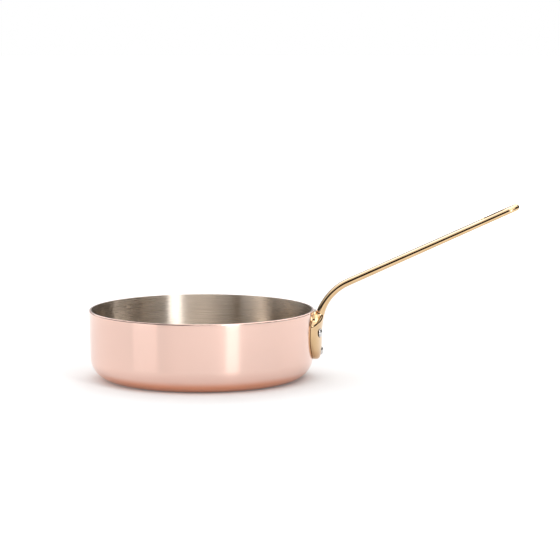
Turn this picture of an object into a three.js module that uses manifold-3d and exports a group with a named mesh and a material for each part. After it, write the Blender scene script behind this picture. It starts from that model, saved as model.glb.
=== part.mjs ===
// A straight-sided copper saute pan: a copper bowl with a bonded steel lining,
// and one cast brass handle held on by three steel rivets.
// Millimetres, +Z up. The origin is the centre of the base, on the surface the pan stands on,
// and the handle points along +X.
import * as THREE from "three";
import { mergeVertices } from "three/addons/utils/BufferGeometryUtils.js";
import Module from "manifold-3d";

// Bowl
const rimDiameter = 201; // outside, at the rim
const panHeight = 62; // outside
const wallLean = 1.3; // degrees that the side opens outwards
const cornerRadius = 20.5; // outside, between side and base
const copperThickness = 1.8;
const liningThickness = 0.2;
const bondGap = 0.02; // between the two layers of the sheet
const rimRound = 0.5; // broken outer edge of the rim

// Handle
const handleRise = 24.2; // degrees above the horizontal
const bendRadius = 45; // of the handle's middle line
const bendDrop = 3; // start of the bend below the shoulders of the pad
const straightLength = 166.9; // from the end of the bend to the tip
const neckThickness = 9.2;
const neckRun = 32; // along the bend, where the neck thins down to the stem
const stemThickness = 6.4; // beyond the neck
const tipThickness = 5.8;
const neckWidth = 16;
const tipWidth = 21;
const tipNose = 2.5; // length over which the faces round over at the tip
const stemSquareness = 2.4; // exponent of the rounded section: 2 is an ellipse
const hangSlotLength = 26.2;
const hangSlotWidth = 9;
const hangSlotMargin = 10.9; // metal left between the slot and the tip

// Mounting pad at the foot of the handle
const padWidth = 50;
const padThickness = 7.7;
const padEdge = 2; // upright edge around the crowned face
const padFootDrop = 3.8; // foot of the pad below the top of the bowl's corner
const padTaperDrop = 8; // below the shoulders, where the pad starts to narrow downwards
const padTaperShape = 1.8; // exponent of the narrowing outline
const padCrown = 2; // exponent of the face from side to side
const padCrease = 1.5; // exponent of the face at its sides: 1 is a sharp edge
const padFootCrown = 3.2; // exponent of the face down to its foot
const padBackSquareness = 10; // exponent of the side walls behind the edge
const shoulderDrop = 14; // shoulders of the pad below the rim
const shoulderRun = 11; // height over which the shoulders draw in to the neck
const pathStandOff = 4; // from the side of the bowl to the handle's middle line
const tongueDrop = 1.5; // top of the pad, behind the neck, below the rim
const tongueWidth = 36;
const tongueTopThickness = 1.5;
const tongueFootThickness = 2.2;
const tongueCorner = 10;
const tongueLap = 4; // how far the tongue reaches down behind the shoulders

// Rivets
const rivetSpacing = 26; // between the two upper rivets, along the side of the bowl
const rivetUpperDrop = 5.7; // upper rivets below the shoulders of the pad
const rivetLowerRise = 7.9; // lower rivet above the foot of the pad
const spotDepth = 1; // seats of the heads below the face of the pad
const shankDiameter = 5;
const outerHeadDiameter = 8;
const outerHeadHeight = 2.6;
const innerHeadDiameter = 10;
const innerHeadHeight = 1.4;

// Clearances
const padGap = 0.25; // pad to the side of the bowl
const shankGap = 0.15; // shank to its hole, all round
const headGap = 0.2; // rivet head to its seat, and to the wall of its spot face

// Facets
const bowlSegments = 72;
const cornerSteps = 7;
const rivetSegments = 18;
const headSteps = 4;
const ringPoints = 32;
const arcSteps = 8; // in a quarter or half circle of an outline
const footRings = 14;
const bendRings = 26;
const stemRings = 8;
const tipRings = 9;
const endGap = 0.02; // last ring to the end of the handle

// Worked out from the sizes above
const rimRadius = rimDiameter / 2;
const lean = THREE.MathUtils.degToRad(wallLean);
const rise = THREE.MathUtils.degToRad(handleRise);
const bendTurn = Math.PI / 2 - rise;
const liningOuter = copperThickness + bondGap;
const liningInner = liningOuter + liningThickness;
const sideHeight = panHeight - cornerRadius * (1 - Math.sin(lean));
const cornerX = rimRadius - cornerRadius * Math.cos(lean) - sideHeight * Math.tan(lean);
const padBottom = cornerRadius - padFootDrop;
const tongueTop = panHeight - tongueDrop;
const shoulderLow = panHeight - shoulderDrop;
const shoulderHigh = shoulderLow + shoulderRun;
const padTaperStart = shoulderLow - padTaperDrop;
const tongueFoot = shoulderLow - tongueLap;
const bendStart = shoulderLow - bendDrop;
const rivetUpperHeight = shoulderLow - rivetUpperDrop;
const rivetLowerHeight = padBottom + rivetLowerRise;
const mountRadius = wallRadius((padBottom + tongueTop) / 2);
const pathX = mountRadius + pathStandOff;
const weld = 1e-4;

const wasm = await Module();
wasm.setup();

// Solids

// A closed geometry as a solid that can be joined and cut.
function solidOf(geometry) {
  const bare = geometry.clone();
  bare.deleteAttribute("normal");
  bare.deleteAttribute("uv");
  const merged = mergeVertices(bare, weld);
  const corners = merged.index.array;
  const kept = [];
  for (let i = 0; i < corners.length; i += 3) {
    const [a, b, c] = corners.slice(i, i + 3);
    if (a !== b && b !== c && c !== a) kept.push(a, b, c);
  }
  return new wasm.Manifold(
    new wasm.Mesh({
      numProp: 3,
      vertProperties: merged.attributes.position.array,
      triVerts: new Uint32Array(kept),
    }),
  );
}

// A solid back as a geometry.
function geometryOf(solid) {
  const mesh = solid.getMesh();
  const geometry = new THREE.BufferGeometry();
  geometry.setAttribute("position", new THREE.BufferAttribute(mesh.vertProperties, 3));
  geometry.setIndex(new THREE.BufferAttribute(mesh.triVerts, 1));
  return geometry;
}

// A profile of [radius, height] pairs turned round the Z axis.
function turned(profile, segments) {
  const points = profile.map(([radius, height]) => new THREE.Vector2(radius, height));
  return new THREE.LatheGeometry(points, segments).rotateX(Math.PI / 2);
}

// An outline given a depth along +Z.
function extruded(outline, depth) {
  return new THREE.ExtrudeGeometry(outline, { depth, bevelEnabled: false, curveSegments: arcSteps });
}

// Rings of equal count skinned into one closed body, with a fan over each end.
function loft(rings) {
  const count = rings[0].length;
  const last = rings.length - 1;
  const points = rings.flat();
  const middle = (ring) =>
    ring.reduce((sum, p) => sum.add(p), new THREE.Vector3()).divideScalar(count);
  points.push(middle(rings[0]), middle(rings[last]));
  const [startFan, endFan] = [points.length - 2, points.length - 1];
  const faces = [];
  for (let j = 0; j < count; j++) {
    const k = (j + 1) % count;
    faces.push(startFan, j, k, endFan, last * count + k, last * count + j);
    for (let i = 0; i < last; i++) {
      const [a, b] = [i * count + j, i * count + k];
      faces.push(a, b + count, b, a, a + count, b + count);
    }
  }
  const geometry = new THREE.BufferGeometry().setFromPoints(points);
  return geometry.setIndex(faces);
}

function smoothStep(value, from, to) {
  return THREE.MathUtils.smoothstep(value, from, to);
}

// Runs from 1 down to 0 as u goes from 0 to 1, along a quarter of a rounded outline.
function roundOff(u, exponent) {
  const t = THREE.MathUtils.clamp(u, 0, 1);
  return (1 - t ** exponent) ** (1 / exponent);
}

// Bowl

// Outside radius of the sloping side at a height.
function wallRadius(height) {
  return rimRadius - (panHeight - height) * Math.tan(lean);
}

// Outline of the bowl set in from its outside by a distance: base centre, corner arc, top of the side.
function bowlOutline(inset) {
  const radius = cornerRadius - inset;
  const outline = [[0, inset]];
  for (let i = 0; i <= cornerSteps; i++) {
    const angle = -Math.PI / 2 + (i / cornerSteps) * (Math.PI / 2 - lean);
    outline.push([cornerX + radius * Math.cos(angle), cornerRadius + radius * Math.sin(angle)]);
  }
  outline.push([rimRadius - inset / Math.cos(lean), panHeight]);
  return outline;
}

// One layer of the sheet, between two insets.
function bowlLayer(outerInset, innerInset, edgeRound) {
  const outside = bowlOutline(outerInset);
  const [topRadius, topHeight] = outside.pop();
  const edge = edgeRound
    ? [
        [topRadius - edgeRound * Math.tan(lean), topHeight - edgeRound],
        [topRadius - edgeRound, topHeight],
      ]
    : [[topRadius, topHeight]];
  return solidOf(turned([...outside, ...edge, ...bowlOutline(innerInset).reverse()], bowlSegments));
}

// Space that the bowl takes up as a solid plug, grown by a clearance.
function bowlPlug(clearance) {
  const outline = bowlOutline(-clearance);
  return solidOf(turned([...outline, [0, panHeight]], bowlSegments));
}

// Pad

// How far a height has come down from the start of the pad's taper to its foot.
function padNarrowing(height) {
  return (padTaperStart - height) / (padTaperStart - padBottom);
}

// Half width of the pad at a height.
function padHalf(height) {
  return (padWidth / 2) * roundOff(padNarrowing(height), padTaperShape);
}

// Crest of the pad's face above its edge at a height.
function padRise(height) {
  return (padThickness - padEdge) * roundOff(padNarrowing(height), padFootCrown);
}

// Thickness of the pad at a distance from its middle line and a height.
function padFace(side, height) {
  const share = THREE.MathUtils.clamp(Math.abs(side) / padHalf(height), 0, 1);
  return padEdge + padRise(height) * (1 - share ** padCrown) ** (1 / padCrease);
}

// Rivets

const rivetAngle = rivetSpacing / 2 / mountRadius;
const rivets = [
  { name: "rivet_upper_left", angle: rivetAngle, height: rivetUpperHeight },
  { name: "rivet_upper_right", angle: -rivetAngle, height: rivetUpperHeight },
  { name: "rivet_lower", angle: 0, height: rivetLowerHeight },
];

// A group whose +Z runs out of the bowl along a rivet, from the bowl's own axis.
function rivetPlace({ angle, height }) {
  const turn = new THREE.Group();
  turn.rotation.z = angle;
  turn.position.z = height;
  const axis = new THREE.Group();
  axis.rotation.y = Math.PI / 2;
  turn.add(axis);
  turn.updateMatrixWorld(true);
  return { turn, axis };
}

// Where the two heads of a rivet lie, measured out from the bowl's axis.
function rivetSeats({ angle, height }) {
  const lining = wallRadius(height) - liningInner / Math.cos(lean);
  const headRadius = innerHeadDiameter / 2;
  const hollow = headRadius ** 2 / (2 * lining) + headRadius * Math.tan(lean);
  const grip = padFace(mountRadius * Math.sin(angle), height) - spotDepth;
  return {
    inner: lining - hollow - headGap,
    outer: wallRadius(height) + padGap + grip,
  };
}

// Low dome from its rim to its crown, as [radius, height] pairs.
function dome(radius, height, base) {
  return Array.from({ length: headSteps + 1 }, (_, i) => {
    const angle = (i / headSteps) * (Math.PI / 2);
    return [radius * Math.cos(angle), base + height * Math.sin(angle)];
  });
}

// Shank with a low head inside the bowl and a rounder one on the pad.
function rivetGeometry(rivet) {
  const { inner, outer } = rivetSeats(rivet);
  const shank = shankDiameter / 2;
  const innerHead = dome(innerHeadDiameter / 2, -innerHeadHeight, inner).reverse();
  const outerHead = dome(outerHeadDiameter / 2, outerHeadHeight, outer + headGap);
  return turned([...innerHead, [shank, inner], [shank, outer + headGap], ...outerHead], rivetSegments);
}

// A round cutter along a rivet's axis.
function rivetCutter(rivet, radius, from, to) {
  const profile = [
    [0, from],
    [radius, from],
    [radius, to],
    [0, to],
  ];
  const { axis } = rivetPlace(rivet);
  return solidOf(turned(profile, rivetSegments).applyMatrix4(axis.matrixWorld));
}

// Shank holes, long enough to pass the lining, the copper and the pad.
function drillShanks(solid) {
  const reach = padThickness + padGap + liningInner;
  return rivets.reduce((rest, rivet) => {
    const radius = shankDiameter / 2 + shankGap;
    const side = wallRadius(rivet.height);
    return rest.subtract(rivetCutter(rivet, radius, side - reach, side + reach));
  }, solid);
}

// Flat spot faces that the outer heads sit in.
function spotFace(solid) {
  return rivets.reduce((rest, rivet) => {
    const { outer } = rivetSeats(rivet);
    const radius = outerHeadDiameter / 2 + headGap;
    return rest.subtract(rivetCutter(rivet, radius, outer, outer + padThickness));
  }, solid);
}

// Handle

const padRun = bendStart - padBottom;
const bendRun = bendRadius * bendTurn;
const handleRun = padRun + bendRun + straightLength;

// Point and direction of the handle's middle line at a run from the foot of the pad.
function pathAt(run) {
  const bend = THREE.MathUtils.clamp((run - padRun) / bendRadius, 0, bendTurn);
  const along = Math.max(run - padRun - bendRun, 0);
  const heading = Math.PI / 2 - bend;
  const direction = new THREE.Vector3(Math.cos(heading), 0, Math.sin(heading));
  const point = new THREE.Vector3(
    pathX + bendRadius * (1 - Math.cos(bend)),
    0,
    padBottom + Math.min(run, padRun) + bendRadius * Math.sin(bend),
  );
  return { point: point.addScaledVector(direction, along), direction };
}

// Half width, depths and squareness of the handle's section at a run along it.
function sectionAt(run) {
  const { point } = pathAt(run);
  const stem = smoothStep(point.z, shoulderLow, shoulderHigh);
  const swell = smoothStep(point.z, padTaperStart, (shoulderLow + shoulderHigh) / 2);
  const grow = smoothStep(run, padRun + bendRun / 2, handleRun - hangSlotMargin - hangSlotLength);
  const mix = THREE.MathUtils.lerp;
  const tipRadius = tipWidth / 2;
  const tip = (run - (handleRun - tipRadius)) / tipRadius;
  const nose = roundOff((run - (handleRun - tipNose)) / tipNose, 2);
  const thin = smoothStep(run, padRun, padRun + neckRun);
  const stemHalf = mix(neckWidth, tipWidth, grow) / 2;
  const stemDepth = mix(mix(neckThickness, stemThickness, thin), tipThickness, grow) / 2;
  const face = padEdge - pathStandOff + padRise(point.z);
  const waist = mix(padEdge - pathStandOff, 0, stem);
  return {
    half: mix(padHalf(point.z), stemHalf, stem) * roundOff(tip, 2),
    waist,
    outward: (mix(face, stemDepth, swell) - waist) * nose,
    inward: mix(padEdge + padThickness, stemDepth, stem) * nose,
    crown: mix(padCrown, stemSquareness, stem),
    crease: mix(padCrease, stemSquareness, stem),
    back: mix(padBackSquareness, stemSquareness, stem),
    wrap: (1 - stem) / (2 * mountRadius),
  };
}

// One rounded ring of the handle's skin, bent round the bowl where it belongs to the pad.
function handleRing(run) {
  const { point, direction } = pathAt(run);
  const section = sectionAt(run);
  const outwards = new THREE.Vector3(direction.z, 0, -direction.x);
  return Array.from({ length: ringPoints }, (_, i) => {
    const angle = (i / ringPoints) * 2 * Math.PI;
    const [c, s] = [Math.cos(angle), Math.sin(angle)];
    const outer = s >= 0;
    const share = Math.abs(c) ** (2 / (outer ? section.crown : section.back));
    const bulge = Math.abs(s) ** (2 / (outer ? section.crease : section.back));
    const side = section.half * Math.sign(c) * share;
    const depth = outer ? section.outward * bulge : -section.inward * bulge;
    const off = section.waist + depth - section.wrap * side ** 2;
    return new THREE.Vector3(point.x, side, point.z).addScaledVector(outwards, off);
  });
}

// Runs where the skin has a ring: close together at the rounded ends and through the bend.
function handleRuns() {
  const spread = (count, from, to) =>
    Array.from({ length: count }, (_, i) => from + ((to - from) * i) / count);
  const ease = (count) => Array.from({ length: count }, (_, i) => Math.sin((i / count) * (Math.PI / 2)));
  const tipStart = handleRun - tipWidth / 2;
  const foot = ease(footRings).map((e) => padRun * (1 - e));
  const tip = ease(tipRings).map((e) => tipStart + (tipWidth / 2) * e);
  return [
    endGap,
    ...foot.slice(1).reverse(),
    ...spread(bendRings, padRun, padRun + bendRun),
    ...spread(stemRings, padRun + bendRun, tipStart),
    ...tip,
    handleRun - endGap,
  ];
}

// Rounded slot through the end of the handle, square to it.
function hangSlot() {
  const half = hangSlotLength / 2 - hangSlotWidth / 2;
  const outline = new THREE.Shape();
  outline.absarc(half, 0, hangSlotWidth / 2, -Math.PI / 2, Math.PI / 2);
  outline.absarc(-half, 0, hangSlotWidth / 2, Math.PI / 2, (3 * Math.PI) / 2);
  const depth = 2 * tipWidth;
  const slot = extruded(outline, depth);
  const { point } = pathAt(handleRun - hangSlotMargin - hangSlotLength / 2);
  slot.translate(0, 0, -depth / 2).rotateY(-rise).translate(point.x, point.y, point.z);
  return solidOf(slot);
}

// Flat top of the pad, which stands against the side of the bowl behind the neck.
function tongue() {
  const half = tongueWidth / 2;
  const outline = new THREE.Shape();
  outline.moveTo(-half, tongueFoot);
  outline.lineTo(half, tongueFoot);
  outline.absarc(half - tongueCorner, tongueTop - tongueCorner, tongueCorner, 0, Math.PI / 2);
  outline.absarc(tongueCorner - half, tongueTop - tongueCorner, tongueCorner, Math.PI / 2, Math.PI);
  const plate = extruded(outline, rimDiameter).rotateX(Math.PI / 2).rotateZ(Math.PI / 2);
  const taper = [
    [0, tongueFoot],
    [wallRadius(tongueFoot) + padGap + tongueFootThickness, tongueFoot],
    [wallRadius(tongueTop) + padGap + tongueTopThickness, tongueTop],
    [0, tongueTop],
  ];
  return solidOf(plate).intersect(solidOf(turned(taper, bowlSegments)));
}

function handleSolid() {
  const skin = solidOf(loft(handleRuns().map(handleRing)));
  const cast = skin.add(tongue()).subtract(bowlPlug(padGap)).subtract(hangSlot());
  return spotFace(drillShanks(cast));
}

// Finishes
const copper = new THREE.MeshStandardMaterial({ color: 0xe9b8a4, roughness: 0.3, metalness: 1 });
const steel = new THREE.MeshStandardMaterial({ color: 0xb5aaa0, roughness: 0.35, metalness: 1 });
const brass = new THREE.MeshStandardMaterial({ color: 0xd9b47c, roughness: 0.12, metalness: 1 });
const rivetSteel = new THREE.MeshStandardMaterial({ color: 0xc4bfbc, roughness: 0.2, metalness: 1 });

// Assembly
function piece(name, geometry, material) {
  const mesh = new THREE.Mesh(geometry, material);
  mesh.name = name;
  return mesh;
}

const pan = new THREE.Group();
const copperLayer = bowlLayer(0, copperThickness, rimRound);
const liningLayer = bowlLayer(liningOuter, liningInner, 0);
pan.add(piece("copper_shell", geometryOf(drillShanks(copperLayer)), copper));
pan.add(piece("steel_lining", geometryOf(drillShanks(liningLayer)), steel));
pan.add(piece("handle", geometryOf(handleSolid()), brass));
for (const rivet of rivets) {
  const { turn, axis } = rivetPlace(rivet);
  axis.add(piece(rivet.name, rivetGeometry(rivet), rivetSteel));
  pan.add(turn);
}

export default pan;
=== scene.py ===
import math

import bpy
import numpy as np
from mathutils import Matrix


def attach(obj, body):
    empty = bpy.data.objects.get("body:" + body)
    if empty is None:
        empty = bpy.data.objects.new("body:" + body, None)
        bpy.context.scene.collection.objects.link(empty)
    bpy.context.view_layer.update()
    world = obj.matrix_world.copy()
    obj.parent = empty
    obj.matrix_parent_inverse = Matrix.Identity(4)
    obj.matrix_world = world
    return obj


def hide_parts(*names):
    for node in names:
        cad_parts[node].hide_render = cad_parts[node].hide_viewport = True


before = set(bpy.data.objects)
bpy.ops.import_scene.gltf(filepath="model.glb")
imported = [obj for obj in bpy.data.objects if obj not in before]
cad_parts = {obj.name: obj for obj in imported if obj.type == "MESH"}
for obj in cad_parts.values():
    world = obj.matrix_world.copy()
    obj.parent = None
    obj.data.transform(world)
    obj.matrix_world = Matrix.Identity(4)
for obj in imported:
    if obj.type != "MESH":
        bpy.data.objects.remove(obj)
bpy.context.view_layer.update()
scene = bpy.context.scene
mm = 0.001  # the sizes below are in millimetres, the meshes in metres
print("frame loaded:", ", ".join(sorted(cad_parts)))


# mesh making

roundExponent = 2  # makes roundOff a quarter of a circle or an ellipse


def smoothStep(value, low, high):
    t = np.clip((value - low) / (high - low), 0, 1)
    return t * t * (3 - 2 * t)


def mix(a, b, t):
    return a + (b - a) * t


def roundOff(u, exponent):
    # 1 down to 0 as u goes from 0 to 1, along a quarter of a rounded outline
    return (1 - np.clip(u, 0, 1) ** exponent) ** (1 / exponent)


def lengthAlong(points):
    step = np.linalg.norm(np.diff(points, axis=0), axis=1)
    return np.concatenate([[0], np.cumsum(step)])


def skin(name, rings, along):
    # rings[i, j] is point j of ring i. Each ring closes on itself, neighbours are joined by quads,
    # and a fan over the middle closes each end. U runs once round a ring, V is the length along
    count, around = rings.shape[:2]
    points = np.concatenate([rings.reshape(-1, 3), rings[:1].mean(1), rings[-1:].mean(1)])
    i, j = (a.ravel() for a in np.meshgrid(np.arange(count - 1), np.arange(around), indexing="ij"))
    k = (j + 1) % around
    here, there = i * around, (i + 1) * around
    quads = np.stack([here + j, here + k, there + k, there + j], 1)
    quadU = np.stack([j, j + 1, j + 1, j], 1) / around
    quadV = np.stack([along[i], along[i], along[i + 1], along[i + 1]], 1)
    edge = np.arange(around)
    after = (edge + 1) % around
    foot, head = count * around, count * around + 1
    last = (count - 1) * around
    fans = np.concatenate([
        np.stack([np.full(around, foot), after, edge], 1),
        np.stack([np.full(around, head), last + edge, last + after], 1),
    ])
    fanU = np.concatenate([
        np.stack([edge + 0.5, edge + 1, edge], 1),
        np.stack([edge + 0.5, edge, edge + 1], 1),
    ]) / around
    fanV = np.repeat([along[0], along[-1]], around)[:, None] * np.ones(3)
    corners = points[quads]
    turn = np.cross(corners[:, 1] - corners[:, 0], corners[:, 2] - corners[:, 0])
    if (turn * corners[:, 0]).sum() < 0:  # signed volume of the skin: faces have to point outwards
        quads, quadU, quadV = quads[:, ::-1], quadU[:, ::-1], quadV[:, ::-1]
        fans, fanU, fanV = fans[:, ::-1], fanU[:, ::-1], fanV[:, ::-1]
    mesh = bpy.data.meshes.new(name)
    mesh.from_pydata((points * mm).tolist(), [], quads.tolist() + fans.tolist())
    layer = mesh.uv_layers.new(name="lay")
    u = np.concatenate([quadU.ravel(), fanU.ravel()])
    v = np.concatenate([quadV.ravel(), fanV.ravel()])
    layer.data.foreach_set("uv", np.stack([u, v], 1).astype(np.float32).ravel())
    piece = bpy.data.objects.new(name, mesh)
    scene.collection.objects.link(piece)
    return piece


def turned(name, profile, around):
    # profile of (radius, height) pairs carried round the Z axis
    profile = np.asarray(profile, float)
    angle = np.arange(around) / around * 2 * np.pi
    radius, height = profile[:, :1], profile[:, 1:]
    rings = np.stack([radius * np.cos(angle), radius * np.sin(angle), height + 0 * angle], -1)
    return skin(name, rings, lengthAlong(profile))


def combine(piece, tools, operation):
    # the piece joined with, or cut by, other closed meshes, which are used up
    for tool in tools:
        step = piece.modifiers.new("combine", "BOOLEAN")
        step.operation, step.object, step.solver = operation, tool, "EXACT"
    graph = bpy.context.evaluated_depsgraph_get()
    whole = bpy.data.meshes.new_from_object(piece.evaluated_get(graph))
    piece.modifiers.clear()
    before, piece.data = piece.data, whole
    bpy.data.meshes.remove(before)
    for tool in tools:
        bpy.data.meshes.remove(tool.data)
    return piece


def dress(piece, node, finish, sharp):
    mesh = piece.data
    mesh.name = piece.name
    mesh.shade_smooth()
    mesh.set_sharp_from_angle(angle=math.radians(sharp))
    mesh.materials.clear()
    mesh.materials.append(finish)
    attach(piece, "root")
    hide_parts(node)
    print(f"{piece.name}: {len(mesh.polygons)} faces")
    return piece


# materials

def newFinish(name):
    finish = bpy.data.materials.new(name)
    finish.use_nodes = True
    nodes, links = finish.node_tree.nodes, finish.node_tree.links
    return finish, nodes, links, nodes["Principled BSDF"]


def noise(nodes, links, vector, scale, detail, stretch=(1, 1, 1)):
    place = nodes.new("ShaderNodeMapping")
    place.inputs["Scale"].default_value = stretch
    links.new(vector, place.inputs["Vector"])
    texture = nodes.new("ShaderNodeTexNoise")
    texture.inputs["Scale"].default_value = scale
    texture.inputs["Detail"].default_value = detail
    links.new(place.outputs["Vector"], texture.inputs["Vector"])
    return texture.outputs["Fac"]


def ranged(nodes, links, source, span, result, way="SMOOTHSTEP"):
    # the source, taken from one span of values to another
    node = nodes.new("ShaderNodeMapRange")
    node.interpolation_type = way
    node.inputs["From Min"].default_value, node.inputs["From Max"].default_value = span
    node.inputs["To Min"].default_value, node.inputs["To Max"].default_value = result
    links.new(source, node.inputs["Value"])
    return node.outputs["Result"]


def paintedShadeTone(nodes, links, coords, colour, look):
    # painted shade: the colour multiplied by a deeper tone from one height down to another
    if "foot" not in look:
        return colour
    place = nodes.new("ShaderNodeSeparateXYZ")
    links.new(coords.outputs["Object"], place.inputs[0])
    reach = [height * mm for height in look["paintedShadeReach"]]
    paintedShadeMix = nodes.new("ShaderNodeMix")
    paintedShadeMix.data_type, paintedShadeMix.blend_type = "RGBA", "MULTIPLY"
    links.new(ranged(nodes, links, place.outputs["Z"], reach, (1, 0)), paintedShadeMix.inputs["Factor"])
    links.new(colour, paintedShadeMix.inputs["A"])
    paintedShadeMix.inputs["B"].default_value = (*look["foot"], 1)
    return paintedShadeMix.outputs["Result"]


def metalSurface(nodes, links, shader, coords, pattern, relief, look):
    # colour from dark to light and roughness from low to high, both led by the pattern, and a
    # fine bump led by the relief
    tint = nodes.new("ShaderNodeValToRGB")
    tones = (look["dark"], look["light"])
    for element, place, tone in zip(tint.color_ramp.elements, look["span"], tones):
        element.position = place
        element.color = (*tone, 1)
    links.new(pattern, tint.inputs["Fac"])
    colour = paintedShadeTone(nodes, links, coords, tint.outputs["Color"], look)
    links.new(colour, shader.inputs["Base Color"])
    rough = ranged(nodes, links, pattern, look["span"], look["roughness"], "LINEAR")
    links.new(rough, shader.inputs["Roughness"])
    bump = nodes.new("ShaderNodeBump")
    bump.inputs["Strength"].default_value = look["bump"]
    bump.inputs["Distance"].default_value = look["bumpDepth"] * mm
    links.new(relief, bump.inputs["Height"])
    links.new(bump.outputs["Normal"], shader.inputs["Normal"])
    shader.inputs["Metallic"].default_value = 1


def brushedFinish(name, look):
    # metal brushed round its axis: long fine streaks along U, cloudier patches over them, and a
    # gloss that is drawn out across the streaks
    finish, nodes, links, shader = newFinish(name)
    lay = nodes.new("ShaderNodeUVMap")
    lay.uv_map = "lay"
    coords = nodes.new("ShaderNodeTexCoord")
    streaks = noise(nodes, links, lay.outputs["UV"], scale=1, detail=3, stretch=look["streaks"])
    clouds = noise(nodes, links, coords.outputs["Object"], scale=look["cloudScale"], detail=3)
    both = nodes.new("ShaderNodeMix")
    both.inputs["Factor"].default_value = look["cloudShare"]
    links.new(streaks, both.inputs["A"])
    links.new(clouds, both.inputs["B"])
    metalSurface(nodes, links, shader, coords, both.outputs["Result"], streaks, look)
    tangent = nodes.new("ShaderNodeTangent")
    tangent.direction_type = "UV_MAP"
    tangent.uv_map = "lay"
    links.new(tangent.outputs["Tangent"], shader.inputs["Tangent"])
    shader.inputs["Anisotropic"].default_value = look["anisotropy"]
    shader.inputs["Anisotropic Rotation"].default_value = look["turn"]
    return finish


def polishedFinish(name, look):
    # polished metal: a faint mottle in colour and gloss, and the slight waviness that a buff leaves
    finish, nodes, links, shader = newFinish(name)
    coords = nodes.new("ShaderNodeTexCoord")
    mottle = noise(nodes, links, coords.outputs["Object"], scale=look["mottleScale"], detail=4)
    waves = noise(nodes, links, coords.outputs["Object"], scale=look["waveScale"], detail=2)
    metalSurface(nodes, links, shader, coords, mottle, waves, look)
    return finish


# camera

view = {
    "place": (0.06999, -2.4725, 0.4052),
    "down": 0.1276,  # radians below the horizontal
    "lens": 179.55,
    "sensor": 36,
}
cameraData = bpy.data.cameras.new("camera")
cameraData.lens = view["lens"]
cameraData.sensor_width = view["sensor"]
camera = bpy.data.objects.new("camera", cameraData)
camera.location = view["place"]
camera.rotation_euler = (math.pi / 2 - view["down"], 0, 0)
scene.collection.objects.link(camera)
scene.camera = camera
print("camera set")


# bowl: a copper shell and a thin steel lining, both turned from one profile set in by a distance

bowl = {
    "rimRadius": 100.5,
    "height": 62,
    "lean": math.radians(1.3),
    "corner": 20.5,
    "copper": 1.8,
    "bond": 0.02,
    "lining": 0.2,
    "rimRound": 1.0,
    "hub": 1,  # radius of the innermost ring of the base
    "around": 288,
    "baseSteps": 24,
    "cornerSteps": 30,
    "sideSteps": 16,
    "rimSteps": 8,
    "sharp": 40,  # degrees between faces that show as an edge
}


def wallRadius(height):
    return bowl["rimRadius"] - (bowl["height"] - height) * math.tan(bowl["lean"])


cornerTop = bowl["corner"] * (1 - math.sin(bowl["lean"]))
cornerX = wallRadius(cornerTop) - bowl["corner"] * math.cos(bowl["lean"])


def bowlSide(inset, top):
    # from near the middle of the base, along the flat, round the corner arc and up the sloping side
    flat = np.linspace(bowl["hub"], cornerX, bowl["baseSteps"])
    radius = bowl["corner"] - inset
    angle = np.linspace(-math.pi / 2, -bowl["lean"], bowl["cornerSteps"])[1:]
    arc = np.stack([cornerX + radius * np.cos(angle), bowl["corner"] + radius * np.sin(angle)], 1)
    rise = np.linspace(arc[-1, 1], top, bowl["sideSteps"])[1:]
    side = np.stack([wallRadius(rise) - inset / math.cos(bowl["lean"]), rise], 1)
    return np.concatenate([np.stack([flat, 0 * flat + inset], 1), arc, side])


def bowlLayer(name, outer, inner, edge):
    # up the outside, over a quarter circle at the rim where the layer has a rounded edge, and down
    # the inside
    top = bowl["height"]
    outside = bowlSide(outer, top - edge)
    turn = np.linspace(0, math.pi / 2, bowl["rimSteps"])[1:] if edge else np.zeros(0)
    crown = np.stack([
        outside[-1, 0] - edge * (1 - np.cos(turn)),
        top - edge * (1 - np.sin(turn)),
    ], 1)
    profile = np.concatenate([outside, crown, bowlSide(inner, top)[::-1]])
    return turned(name, profile, bowl["around"])


# pad: crowned foot of the handle, which the rivets hold against the bowl

pad = {
    "half": 25,
    "thickness": 7.7,
    "edge": 2,
    "bottom": 16.7,
    "top": 60.5,
    "taperStart": 40,
    "taperShape": 1.8,
    "crown": 2,
    "crease": 1.5,
    "footCrown": 3.2,
    "back": 10,
}
mountRadius = wallRadius((pad["bottom"] + pad["top"]) / 2)


def padNarrowing(height):
    return (pad["taperStart"] - height) / (pad["taperStart"] - pad["bottom"])


def padOutline(height):
    # half width at a height: full above the taper, then a quarter of an ellipse down to the foot
    return pad["half"] * roundOff(padNarrowing(height), pad["taperShape"])


def padRise(height):
    # crest of the face above its edge: level, then rounded down to the foot
    return (pad["thickness"] - pad["edge"]) * roundOff(padNarrowing(height), pad["footCrown"])


def padFace(side, height):
    # thickness at a place: edge + rise * (1 - (side / half)^crown)^(1 / crease)
    share = np.clip(np.abs(side) / padOutline(height), 0, 1)
    return pad["edge"] + padRise(height) * (1 - share ** pad["crown"]) ** (1 / pad["crease"])


# rivets: two through the shoulders of the pad and one through its foot

rivet = {
    "spacing": 26,
    "upper": 42.3,
    "lower": 24.6,
    "shank": 2.5,
    "outerHead": 4,
    "outerHeight": 2.6,
    "innerHead": 5,
    "innerHeight": 1.4,
    "spotDepth": 1,  # seat of the outer head below the face of the pad
    "spotWall": 1.2,  # upright wall of the spot face, above its seat
    "spotFlare": (0.6, 2.4),  # how far it then opens, and up to which height
    "padGap": 0.25,
    "shankGap": 0.15,
    "headGap": 0.2,
    "tipRadius": 0.02,  # last ring of a closed end
    "drillBack": 12,  # start of a drill inside the bowl's side
    "drillLength": 24,
    "drillAhead": 9,  # end of a drill beyond the seat
    "around": 64,
    "steps": 20,
    "sharp": 40,
}
rivetTurn = rivet["spacing"] / 2 / mountRadius
rivetPlaces = {
    "rivet_upper_left": (rivetTurn, rivet["upper"]),
    "rivet_upper_right": (-rivetTurn, rivet["upper"]),
    "rivet_lower": (0, rivet["lower"]),
}


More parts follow.
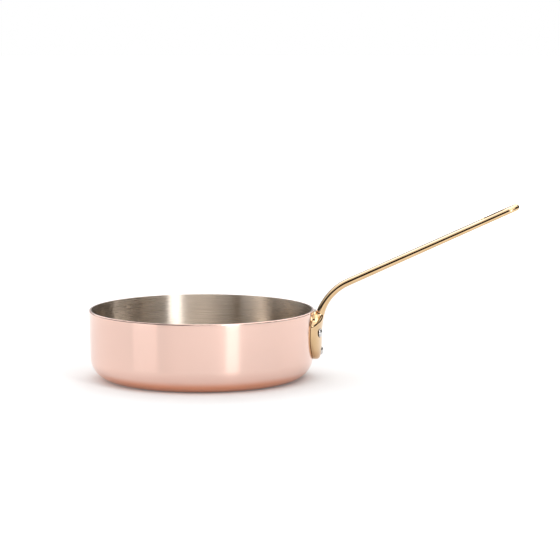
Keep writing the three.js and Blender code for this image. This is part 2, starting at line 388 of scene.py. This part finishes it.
def rivetSeats(turn, height):
    # distances from the bowl's axis at which the inner and the outer head sit
    sheet = bowl["copper"] + bowl["bond"] + bowl["lining"]
    lining = wallRadius(height) - sheet / math.cos(bowl["lean"])
    hollow = rivet["innerHead"] ** 2 / (2 * lining) + rivet["innerHead"] * math.tan(bowl["lean"])
    grip = padFace(mountRadius * math.sin(turn), height) - rivet["spotDepth"]
    return lining - hollow - rivet["headGap"], wallRadius(height) + rivet["padGap"] + grip


def alongRivet(name, profile, place):
    # profile of (radius, distance from the bowl's axis) pairs turned round a level line out of
    # the bowl
    turn, height = place
    profile = np.asarray(profile, float)
    angle = np.arange(rivet["around"]) / rivet["around"] * 2 * np.pi
    radius, out = profile[:, :1], profile[:, 1:] + 0 * angle
    side, up = radius * np.cos(angle), radius * np.sin(angle)
    c, s = math.cos(turn), math.sin(turn)
    rings = np.stack([out * c - side * s, out * s + side * c, up + height], -1)
    return skin(name, rings, lengthAlong(profile))


def dome(radius, height, base):
    # a quarter of an ellipse from the rim of a head to its crown
    angle = np.linspace(0, math.pi / 2, rivet["steps"])
    width = np.maximum(radius * np.cos(angle), rivet["tipRadius"])
    return np.stack([width, base + height * np.sin(angle)], 1)


def rivetBody(name, place):
    inner, outer = rivetSeats(*place)
    seat = outer + rivet["headGap"]
    shank = np.array([[rivet["shank"], inner], [rivet["shank"], seat]])
    innerDome = dome(rivet["innerHead"], -rivet["innerHeight"], inner)[::-1]
    outerDome = dome(rivet["outerHead"], rivet["outerHeight"], seat)
    return alongRivet(name, np.concatenate([innerDome, shank, outerDome]), place)


def drill(place, spotFace):
    # shank hole through lining, copper and pad, and the flat seat of the outer head in a wall that
    # opens outwards
    hole = rivet["shank"] + rivet["shankGap"]
    tip = rivet["tipRadius"]
    start = wallRadius(place[1]) - rivet["drillBack"]
    profile = [(tip, start), (hole, start)]
    if spotFace:
        seat = rivetSeats(*place)[1]
        head = rivet["outerHead"] + rivet["headGap"]
        flare, flareTop = rivet["spotFlare"]
        end = seat + rivet["drillAhead"]
        profile += [(hole, seat), (head, seat), (head, seat + rivet["spotWall"])]
        profile += [(head + flare, seat + flareTop), (head + flare, end), (tip, end)]
    else:
        end = start + rivet["drillLength"]
        profile += [(hole, end), (tip, end)]
    return alongRivet("drill", profile, place)


# finishes

copperLook = {
    "streaks": (9, 3.5, 1),
    "cloudScale": 9,
    "cloudShare": 0.4,
    "span": (0.3, 0.7),  # part of the noise between the dark and the light tone
    "dark": (0.81, 0.55, 0.465),
    "light": (0.85, 0.605, 0.525),
    # painted shade: the base corner deeper orange, standing in for the shadowed floor it reflects
    "foot": (1, 0.72, 0.55),
    "paintedShadeReach": (5, 12),
    "roughness": (0.19, 0.24),
    "bump": 0.06,
    "bumpDepth": 0.02,
    "anisotropy": 0.95,
    "turn": 0.25,
}
liningLook = {
    "streaks": (7, 3, 1),
    "cloudScale": 7,
    "cloudShare": 0.35,
    "span": (0.3, 0.7),
    "dark": (0.70, 0.615, 0.54),
    "light": (0.80, 0.725, 0.64),
    "roughness": (0.25, 0.30),
    "bump": 0.08,
    "bumpDepth": 0.02,
    "anisotropy": 1.0,
    "turn": 0.25,
}
brassLook = {
    "mottleScale": 60,
    "span": (0.35, 0.65),
    "dark": (0.63, 0.43, 0.235),
    "light": (0.70, 0.49, 0.285),
    # painted shade: the pad's foot darker, standing in for the shadowed floor and copper it reflects
    "foot": (0.85, 0.74, 0.65),
    "paintedShadeReach": (20, 31),
    "roughness": (0.05, 0.09),
    "waveScale": 90,
    "bump": 0.06,
    "bumpDepth": 0.1,
}
rivetLook = {
    "mottleScale": 300,
    "span": (0.35, 0.65),
    "dark": (0.60, 0.585, 0.58),
    "light": (0.72, 0.70, 0.69),
    "roughness": (0.12, 0.2),
    "waveScale": 400,
    "bump": 0.1,
    "bumpDepth": 0.1,
}
copperFinish = brushedFinish("brushedCopper", copperLook)
liningFinish = brushedFinish("brushedLining", liningLook)
brassFinish = polishedFinish("polishedBrass", brassLook)
rivetFinish = polishedFinish("polishedRivet", rivetLook)
print("finishes made")

liningOuter = bowl["copper"] + bowl["bond"]
shell = bowlLayer("copperShell", 0, bowl["copper"], bowl["rimRound"])
combine(shell, [drill(place, False) for place in rivetPlaces.values()], "DIFFERENCE")
dress(shell, "copper_shell", copperFinish, bowl["sharp"])
lining = bowlLayer("steelLining", liningOuter, liningOuter + bowl["lining"], 0)
combine(lining, [drill(place, False) for place in rivetPlaces.values()], "DIFFERENCE")
dress(lining, "steel_lining", liningFinish, bowl["sharp"])
for node, place in rivetPlaces.items():
    headed = rivetBody(node.replace("rivet_", "headed_"), place)
    dress(headed, node, rivetFinish, rivet["sharp"])


# handle: rounded sections carried from the foot of the pad, round the bend and along the stem

handle = {
    "rise": math.radians(24.2),
    "bendRadius": 45,
    "bendStart": 45,
    "straight": 166.86,
    "neckThickness": 9.2,
    "neckRun": 32,
    "stemThickness": 6.4,
    "tipThickness": 5.8,
    "neckWidth": 16,
    "tipWidth": 21,
    "tipNose": 2.5,
    "squareness": 2.4,
    "slotLength": 26.2,
    "slotWidth": 9,
    "slotMargin": 10.9,
    "slotBreak": 0.7,
    "slotBreakDepth": 0.9,
    "slotBreakEnd": 1.4,  # the break goes on to this many times its depth
    "slotLevels": (2, 2.3, 2.6, 2.9, 3.2, 4, 8),  # from the middle of the stem to either face
    "slotAround": 96,
    "shoulderLow": 48,
    "shoulderHigh": 59,
    "standOff": 4,
    "fitTop": 61,  # the back of the handle follows the bowl below this height
    "fitSteps": 8,
    "tongueTop": 60.5,
    "tongueFoot": 44,
    "tongueWidth": 36,
    "tongueThickness": (1.5, 2.2),  # at its top and at its foot
    "tongueCorner": 10,
    "tongueHeel": (10, 3),  # half width of its foot inside the pad, and how fast it widens
    "tongueGap": 0.01,  # set back from the pad's own back
    "tongueRows": 20,
    "tongueAcross": 48,
    "around": 144,
    "endRings": 49,
    "bendRings": 97,
    "stemRings": 121,
    "endGap": 0.02,
    "sharp": 32,
}
bendTurn = math.pi / 2 - handle["rise"]
padRun = handle["bendStart"] - pad["bottom"]
bendRun = handle["bendRadius"] * bendTurn
handleRun = padRun + bendRun + handle["straight"]
pathX = mountRadius + handle["standOff"]


def handlePath(run):
    # upright along the pad, round an arc, then straight: X, Z and direction at a length along it
    bend = np.clip((run - padRun) / handle["bendRadius"], 0, bendTurn)
    along = np.maximum(run - padRun - bendRun, 0)
    ahead = np.stack([np.sin(bend), np.cos(bend)], -1)  # X and Z of the direction
    x = pathX + handle["bendRadius"] * (1 - np.cos(bend)) + ahead[:, 0] * along
    upright = pad["bottom"] + np.minimum(run, padRun)
    z = upright + handle["bendRadius"] * np.sin(bend) + ahead[:, 1] * along
    return x, z, ahead


def handleRuns():
    # lengths at which rings stand, closer together towards the foot and the tip
    ease = np.sin(np.linspace(0, math.pi / 2, handle["endRings"]))[:-1]
    tipRadius = handle["tipWidth"] / 2
    tipStart = handleRun - tipRadius
    return np.concatenate([
        [handle["endGap"]],
        (padRun * (1 - ease[1:]))[::-1],
        np.linspace(padRun, padRun + bendRun, handle["bendRings"])[:-1],
        np.linspace(padRun + bendRun, tipStart, handle["stemRings"])[:-1],
        tipStart + tipRadius * ease,
        [handleRun - handle["endGap"]],
    ])


def bowlReach(side, x, z, outX, outZ):
    # how far along the section's outward line the bowl's side, with its gap, is met
    reach = np.zeros(np.broadcast(side, x).shape)
    gap = rivet["padGap"]
    for _ in range(handle["fitSteps"]):
        height = z + outZ * reach
        drop = np.clip(bowl["corner"] - height, 0, bowl["corner"])
        arc = cornerX + np.sqrt(np.maximum((bowl["corner"] + gap) ** 2 - drop ** 2, 0))
        line = wallRadius(height) + gap / math.cos(bowl["lean"])
        radius = np.where(height < bowl["corner"], np.minimum(arc, line), line)
        reach = (np.sqrt(np.maximum(radius ** 2 - side ** 2, 0)) - x) / outX
    return np.where(z + outZ * reach < bowl["height"], reach, -np.inf)


def handleSkin():
    run = handleRuns()
    x, z, ahead = handlePath(run)
    shoulderMid = (handle["shoulderLow"] + handle["shoulderHigh"]) / 2
    stem = smoothStep(z, handle["shoulderLow"], handle["shoulderHigh"])
    swell = smoothStep(z, pad["taperStart"], shoulderMid)
    slotFoot = handleRun - handle["slotMargin"] - handle["slotLength"]
    grow = smoothStep(run, padRun + bendRun / 2, slotFoot)
    thin = smoothStep(run, padRun, padRun + handle["neckRun"])
    tipRadius = handle["tipWidth"] / 2
    tip = (run - (handleRun - tipRadius)) / tipRadius
    nose = (run - (handleRun - handle["tipNose"])) / handle["tipNose"]
    stemHalf = mix(handle["neckWidth"], handle["tipWidth"], grow) / 2
    neckDepth = mix(handle["neckThickness"], handle["stemThickness"], thin)
    stemDepth = mix(neckDepth, handle["tipThickness"], grow) / 2
    edge = pad["edge"] - handle["standOff"]
    crest = edge + padRise(z)
    waist = mix(edge, 0, stem)
    endRound = roundOff(nose, roundExponent)
    half = mix(padOutline(z), stemHalf, stem) * roundOff(tip, roundExponent)
    outward = (mix(crest, stemDepth, swell) - waist) * endRound
    inward = mix(pad["edge"] + pad["thickness"], stemDepth, stem) * endRound
    crown = mix(pad["crown"], handle["squareness"], stem)
    crease = mix(pad["crease"], handle["squareness"], stem)
    back = mix(pad["back"], handle["squareness"], stem)
    wrap = (1 - stem) / (2 * mountRadius)
    # a ring: share of the half width w = cos(angle), outer depth (1 - w^crown)^(1 / crease) and
    # inner depth (1 - w^back)^(1 / back), bent round the bowl and held off its side
    angle = np.arange(handle["around"]) / handle["around"] * 2 * np.pi
    outer = np.sin(angle)[None, :] >= 0
    share = np.abs(np.cos(angle))[None, :]
    face = (1 - share ** crown[:, None]) ** (1 / crease[:, None])
    rear = (1 - share ** back[:, None]) ** (1 / back[:, None])
    side = half[:, None] * np.cos(angle)
    depth = np.where(outer, outward[:, None] * face, -inward[:, None] * rear)
    off = waist[:, None] + depth - wrap[:, None] * side ** 2
    outX, outZ = ahead[:, 1:], -ahead[:, :1]
    x, z = x[:, None], z[:, None]
    limit = bowlReach(side, x, z, outX, outZ)
    off = np.where(z < handle["fitTop"], np.maximum(off, limit), off)
    rings = np.stack([x + outX * off, side, z + outZ * off], -1)
    return skin("brassHandle", rings, run)


def tongue():
    # flat top of the pad: slices at rising heights, each a thin arc against the bowl, drawn in by a
    # quarter circle at the upper corners
    top, foot, corner = handle["tongueTop"], handle["tongueFoot"], handle["tongueCorner"]
    rows, count = handle["tongueRows"], handle["tongueAcross"]
    height = np.concatenate([
        np.linspace(foot, top - corner, rows)[:-1],
        top - corner + corner * np.sin(np.linspace(0, math.pi / 2, rows)),
    ])
    rise = np.clip((height - (top - corner)) / corner, 0, 1)
    half = handle["tongueWidth"] / 2 - corner * (1 - np.sqrt(1 - rise ** 2))
    heel, widening = handle["tongueHeel"]
    half = np.minimum(half, heel + widening * (height - foot))
    topThickness, footThickness = handle["tongueThickness"]
    thickness = mix(footThickness, topThickness, (height - foot) / (top - foot))
    back = wallRadius(height) + rivet["padGap"] + handle["tongueGap"]
    across = np.cos(np.linspace(0, math.pi, count))
    side = half[:, None] * np.concatenate([across, across[::-1]])
    radius = np.concatenate([
        np.repeat((back + thickness)[:, None], count, 1),
        np.repeat(back[:, None], count, 1),
    ], 1)
    x = np.sqrt(radius ** 2 - side ** 2)
    rings = np.stack([x, side, height[:, None] + 0 * side], -1)
    return skin("tongue", rings, height)


def slotCutter():
    # stadium outline through the end of the handle, wider towards both faces by the square of the
    # depth, so that the edges are broken
    middle = handleRun - handle["slotMargin"] - handle["slotLength"] / 2
    x, z, ahead = (a[0] for a in handlePath(np.array([middle])))
    half = (handle["slotLength"] - handle["slotWidth"]) / 2
    levels = np.array(handle["slotLevels"])
    depth = np.concatenate([-levels[::-1], levels])
    beyond = (np.abs(depth) - levels[0]) / handle["slotBreakDepth"]
    flare = handle["slotBreak"] * np.clip(beyond, 0, handle["slotBreakEnd"]) ** 2
    count = handle["slotAround"]
    angle = (np.arange(count) + 0.5) / count * 2 * np.pi
    radius = handle["slotWidth"] / 2 + flare[:, None]
    along = half * np.sign(np.cos(angle)) + radius * np.cos(angle)
    side = radius * np.sin(angle)
    level = depth[:, None] + 0 * side
    slotX = x + ahead[0] * along - ahead[1] * level
    slotZ = z + ahead[1] * along + ahead[0] * level
    return skin("slot", np.stack([slotX, side, slotZ], -1), depth)


brass = handleSkin()
combine(brass, [tongue()], "UNION")
drills = [drill(place, True) for place in rivetPlaces.values()]
combine(brass, [slotCutter()] + drills, "DIFFERENCE")
dress(brass, "handle", brassFinish, handle["sharp"])


# floor, world and lights. A direction in the room has X to the right, Y away and Z up, all from
# -1 to 1, and each pair of them gives the start and the end of a soft change

studio = {
    "floorSize": 12,
    "floorColour": (0.84, 0.84, 0.84),
    "floorLift": (0.1, 0.95),  # added whiteness of the floor under the pan, and far from it
    "liftReach": (0.25, 1.6),
    "fill": (0.95, 0.15),  # soft light on the floor from the left, and from the right
    "fillReach": (-0.7, 0.7),
    "sweep": 1.3,  # brightness of the white sweep behind the pan
    "sweepTop": (0.42, 0.62),
    "ceiling": 0.3,
    "sweepFoot": 0.4,
    "footTop": (0.2, 0.3),
    "footBack": (0.4, 0.6),
    "room": 0.04,  # the dark room to both sides of the sweep and in front of it
    "roomFoot": (0.0, 0.08),
    "roomSlope": 1.2,
    "roomEdge": (0.25, 0.5),
    "frontWall": 0.5,  # share of the sweep's brightness on the pale wall in front of the pan
    "frontTop": (0.2, 0.4),
    "frontEdge": (-0.9, -0.8),
    "rightWall": 1.0,  # two panes high up on the right
    "rightEdge": (0.1, 0.35),
    "paneFoot": (0.36, 0.5),
    "paneFront": (-0.35, -0.2),
    "paneBack": (0.14, 0.24),
    "leftWall": 0.9,  # low strip on the left
    "leftSlope": 0.3,
    "leftEdge": (-0.93, -0.83),
    "leftTop": (0.1, 0.18),
}


def combined(nodes, links, operation, a, b):
    node = nodes.new("ShaderNodeMath")
    node.operation = operation
    for socket, value in zip(node.inputs, (a, b)):
        if isinstance(value, (int, float)):
            socket.default_value = value
        else:
            links.new(value, socket)
    return node.outputs[0]


def straightOn(nodes, links, path):
    direct, glass = path.outputs["Is Camera Ray"], path.outputs["Is Transmission Ray"]
    return combined(nodes, links, "MAXIMUM", direct, glass)


def seenDirectly(nodes, links, path):
    # 1 for what the camera sees straight on, in metal or through glass, 0 for light off a matt surface
    straight = straightOn(nodes, links, path)
    mirror = combined(nodes, links, "MAXIMUM", straight, path.outputs["Is Glossy Ray"])
    matt = combined(nodes, links, "MINIMUM", path.outputs["Diffuse Depth"], 1)
    return combined(nodes, links, "MULTIPLY", mirror, combined(nodes, links, "SUBTRACT", 1, matt))


def makeFloor():
    # flat square under the pan, with a whiteness of its own that grows with the distance
    half = studio["floorSize"] / 2
    corners = [(-half, -half, 0), (half, -half, 0), (half, half, 0), (-half, half, 0)]
    mesh = bpy.data.meshes.new("floor")
    mesh.from_pydata(corners, [], [(0, 1, 2, 3)])
    floor = bpy.data.objects.new("floor", mesh)
    scene.collection.objects.link(floor)
    paint, nodes, links, shader = newFinish("floorPaint")
    nodes.remove(shader)
    diffuse = nodes.new("ShaderNodeBsdfDiffuse")
    diffuse.inputs["Color"].default_value = (*studio["floorColour"], 1)
    coords = nodes.new("ShaderNodeTexCoord")
    distance = nodes.new("ShaderNodeVectorMath")
    distance.operation = "LENGTH"
    links.new(coords.outputs["Object"], distance.inputs[0])
    reach = distance.outputs["Value"]
    spread = ranged(nodes, links, reach, studio["liftReach"], studio["floorLift"])
    seen = seenDirectly(nodes, links, nodes.new("ShaderNodeLightPath"))
    lift = nodes.new("ShaderNodeEmission")
    links.new(combined(nodes, links, "MULTIPLY", seen, spread), lift.inputs["Strength"])
    total = nodes.new("ShaderNodeAddShader")
    links.new(diffuse.outputs[0], total.inputs[0])
    links.new(lift.outputs[0], total.inputs[1])
    links.new(total.outputs[0], nodes["Material Output"].inputs["Surface"])
    mesh.materials.append(paint)


def makeWorld():
    # plain white straight on, the room in metal, and the soft fill for matt surfaces
    world = bpy.data.worlds.new("studio")
    scene.world = world
    world.use_nodes = True
    nodes, links = world.node_tree.nodes, world.node_tree.links
    back = nodes["Background"]
    back.inputs["Color"].default_value = (1, 1, 1, 1)
    coords = nodes.new("ShaderNodeTexCoord")
    parts = nodes.new("ShaderNodeSeparateXYZ")
    links.new(coords.outputs["Generated"], parts.inputs[0])
    x, y, z = (parts.outputs[axis] for axis in "XYZ")
    path = nodes.new("ShaderNodeLightPath")

    def calc(operation, a, b):
        return combined(nodes, links, operation, a, b)

    def change(source, span, start, end):
        return ranged(nodes, links, source, studio[span], (start, end))

    # dark room, all but the pale wall, and the sweep with its ceiling and its grey foot
    aside = calc("MULTIPLY", calc("ABSOLUTE", x, 0), studio["roomSlope"])
    ahead = change(calc("SUBTRACT", y, aside), "roomEdge", 1, 0)
    above = change(z, "roomFoot", 0, 1)
    front = change(y, "frontEdge", studio["frontWall"], 0)
    wall = calc("MULTIPLY", front, change(z, "frontTop", 1, 0))
    dark = calc("MULTIPLY", calc("MULTIPLY", above, ahead), calc("SUBTRACT", 1, wall))
    shade = calc("MULTIPLY", dark, 1 - studio["room"])
    sweep = change(z, "sweepTop", studio["sweep"], studio["ceiling"])
    room = calc("MULTIPLY", calc("SUBTRACT", 1, shade), sweep)
    behind = change(y, "footBack", 0, 1 - studio["sweepFoot"])
    foot = calc("MULTIPLY", behind, change(z, "footTop", 1, 0))
    room = calc("MULTIPLY", room, calc("SUBTRACT", 1, foot))

    # panes on the right and strip on the left
    panes = calc("MAXIMUM", change(y, "paneFront", 1, 0), change(y, "paneBack", 0, 1))
    right = calc("MULTIPLY", panes, change(x, "rightEdge", 0, studio["rightWall"]))
    room = calc("MAXIMUM", room, calc("MULTIPLY", right, change(z, "paneFoot", 0, 1)))
    leftwards = calc("SUBTRACT", x, calc("MULTIPLY", y, studio["leftSlope"]))
    left = change(leftwards, "leftEdge", studio["leftWall"], 0)
    room = calc("MAXIMUM", room, calc("MULTIPLY", left, change(z, "leftTop", 1, 0)))

    inMirror = calc("MULTIPLY", path.outputs["Is Glossy Ray"], room)
    shown = calc("MAXIMUM", straightOn(nodes, links, path), inMirror)
    seen = seenDirectly(nodes, links, path)
    soft = change(x, "fillReach", *studio["fill"])
    fill = calc("MULTIPLY", calc("SUBTRACT", 1, seen), soft)
    strength = calc("ADD", calc("MULTIPLY", shown, seen), fill)
    links.new(strength, back.inputs["Strength"])


def areaLight(name, place, target, size, strength):
    data = bpy.data.lights.new(name, "AREA")
    data.shape = "RECTANGLE"
    data.size, data.size_y = size
    data.energy = strength * math.pi * size[0] * size[1]  # a strength of 1 fills the panel with white
    lamp = bpy.data.objects.new(name, data)
    lamp.location = place
    aim = np.array(target, float) - np.array(place, float)
    tilt = math.atan2(math.hypot(aim[0], aim[1]), -aim[2])
    lamp.rotation_euler = (tilt, 0, math.atan2(-aim[0], aim[1]))
    scene.collection.objects.link(lamp)


lamps = {  # place, target, size and strength
    "backPanel": ((-0.3, 1.15, 1.1), (0, 0, 0.05), (2.4, 1.4), 1.0),
    "overhead": ((0.4, 0.2, 1.3), (0.4, 0.2, 0), (1.1, 2.6), 1.3),
    "rightStrip": ((0.60, -0.95, 0.65), (0, 0, 0.1), (0.30, 1.1), 5),
    "leftPanel": ((-1.16, -0.77, 0.2), (0, 0, 0.05), (0.68, 0.36), 1.2),
}
makeFloor()
makeWorld()
for name, lamp in lamps.items():
    areaLight(name, *lamp)
print("studio lit")

scene.view_settings.view_transform = "Standard"
